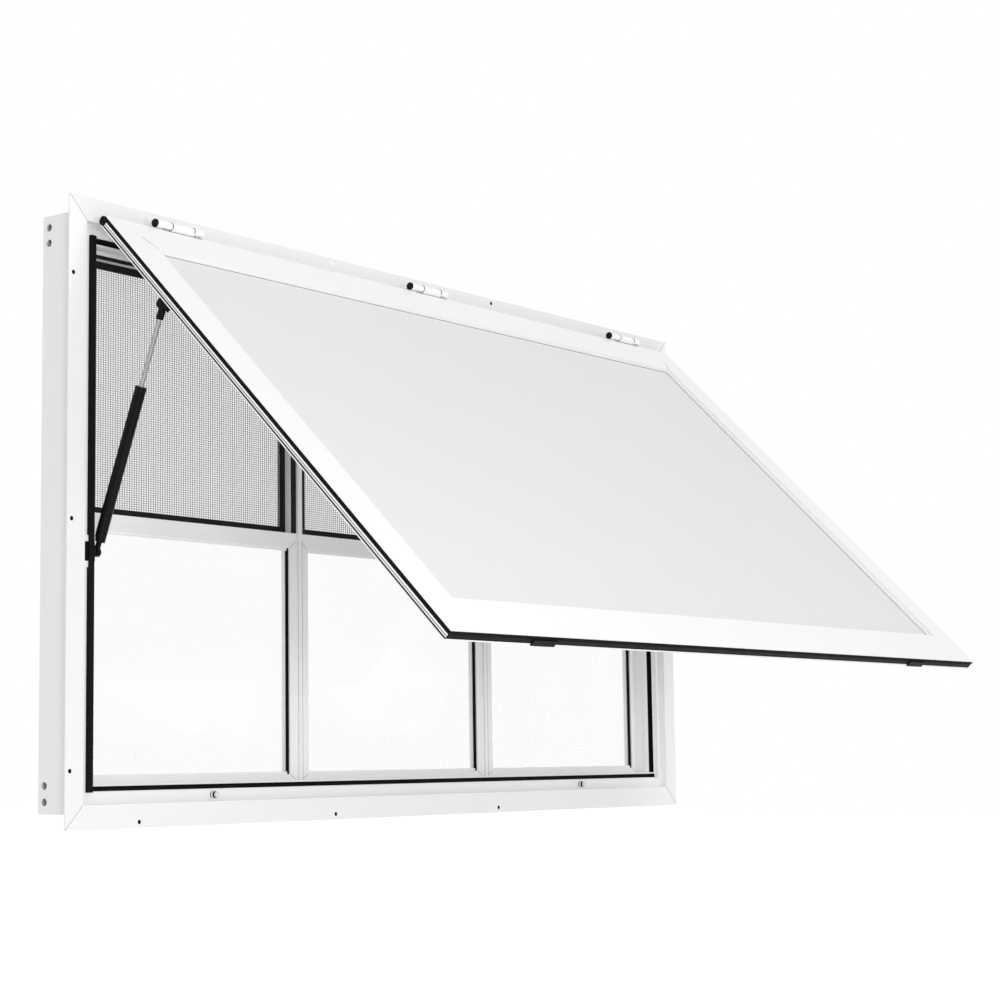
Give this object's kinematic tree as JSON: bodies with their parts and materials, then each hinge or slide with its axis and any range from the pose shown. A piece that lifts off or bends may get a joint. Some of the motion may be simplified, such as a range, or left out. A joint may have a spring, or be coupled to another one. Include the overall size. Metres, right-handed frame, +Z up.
{
  "type": "concession window",
  "caption": "Flanged aluminium serving window with glazed lower sashes, screened upper lights and a top-hung serving door propped open by gas struts.",
  "frame": {"origin": "on the rear face of the mounting flange, midway across, at the centre of the bottom lip outside the frame's box", "axes": "+X along the wall to the right seen from outside, +Y into the wall, +Z up"},
  "size_m": [1.93, 0.835, 1.066],
  "materials": {
    "white_paint": "smooth white powder coat",
    "black_rubber": "matt extruded rubber",
    "clear_glass": "clear float glass",
    "black_paint": "satin black coat",
    "woven_mesh": "fine woven insect mesh",
    "bare_aluminium": "mill finish",
    "polished_steel": "polished rod",
    "bright_chrome": "bright plated",
    "grey_steel": "zinc plated"
  },
  "bodies": {
    "frame": {"frame_head": "white_paint", "frame_sill": "white_paint", "frame_left_jamb": "white_paint", "frame_right_jamb": "white_paint", "perimeter_seal": "black_rubber", "mullion_left": "white_paint", "mullion_right": "white_paint", "lower_sash_left": "white_paint", "lower_sash_centre": "white_paint", "lower_sash_right": "white_paint", "lower_glass": "clear_glass", "sash_gaskets": "black_rubber", "upper_frame_left": "white_paint", "upper_frame_centre": "white_paint", "upper_frame_right": "white_paint", "upper_trim": "black_paint", "upper_glass": "clear_glass", "screen_frame_left": "black_paint", "screen_frame_centre": "black_paint", "screen_frame_right": "black_paint", "screen_mesh": "woven_mesh", "hinge_frame_leaf_left": "bare_aluminium", "hinge_frame_leaf_centre": "bare_aluminium", "hinge_frame_leaf_right": "bare_aluminium", "hinge_caps": "black_paint", "strut_left_foot_bracket": "black_paint", "strut_right_foot_bracket": "black_paint", "latch_studs": "bright_chrome"},
    "door": {"door_top_rail": "white_paint", "door_bottom_rail": "white_paint", "door_left_stile": "white_paint", "door_right_stile": "white_paint", "door_panel": "white_paint", "door_gasket": "black_rubber", "door_locks": "grey_steel", "door_corner_plugs": "black_paint", "hinge_door_leaf_left": "bare_aluminium", "hinge_door_leaf_centre": "bare_aluminium", "hinge_door_leaf_right": "bare_aluminium", "strut_left_door_bracket": "black_paint", "strut_right_door_bracket": "black_paint", "strut_left_end_fitting": "black_paint", "strut_right_end_fitting": "black_paint"},
    "strut_left_cylinder": {"strut_left_cylinder": "black_paint"},
    "strut_left_rod": {"strut_left_rod": "polished_steel"},
    "strut_right_cylinder": {"strut_right_cylinder": "black_paint"},
    "strut_right_rod": {"strut_right_rod": "polished_steel"}
  },
  "joints": [
    {"name": "door_hinge", "type": "hinge", "parent": "frame", "child": "door", "pos_m": [0, -0.033, 1.0275], "axis": [-1, 0, 0], "range_deg": [-44.4, 40.6]},
    {"name": "strut_left_swing", "type": "hinge", "parent": "frame", "child": "strut_left_cylinder", "pos_m": [-0.876, 0.0179, 0.4506], "axis": [1, 0, 0], "range_deg": [-19.2, 17.6]},
    {"name": "strut_left_extend", "type": "slide", "parent": "strut_left_cylinder", "child": "strut_left_rod", "axis": [0, -0.356, 0.9345], "range_m": [-0.117, 0.107]},
    {"name": "strut_right_swing", "type": "hinge", "parent": "frame", "child": "strut_right_cylinder", "pos_m": [0.876, 0.0179, 0.4506], "axis": [1, 0, 0], "range_deg": [-19.2, 17.6]},
    {"name": "strut_right_extend", "type": "slide", "parent": "strut_right_cylinder", "child": "strut_right_rod", "axis": [0, -0.356, 0.9345], "range_m": [-0.117, 0.107]}
  ],
  "couplings": [
    {"joint": "strut_left_swing", "follows": "door_hinge", "ratio": 0.43},
    {"joint": "strut_left_extend", "follows": "door_hinge", "m_per_rad": 0.15},
    {"joint": "strut_right_swing", "follows": "door_hinge", "ratio": 0.43},
    {"joint": "strut_right_extend", "follows": "door_hinge", "m_per_rad": 0.15}
  ]
}
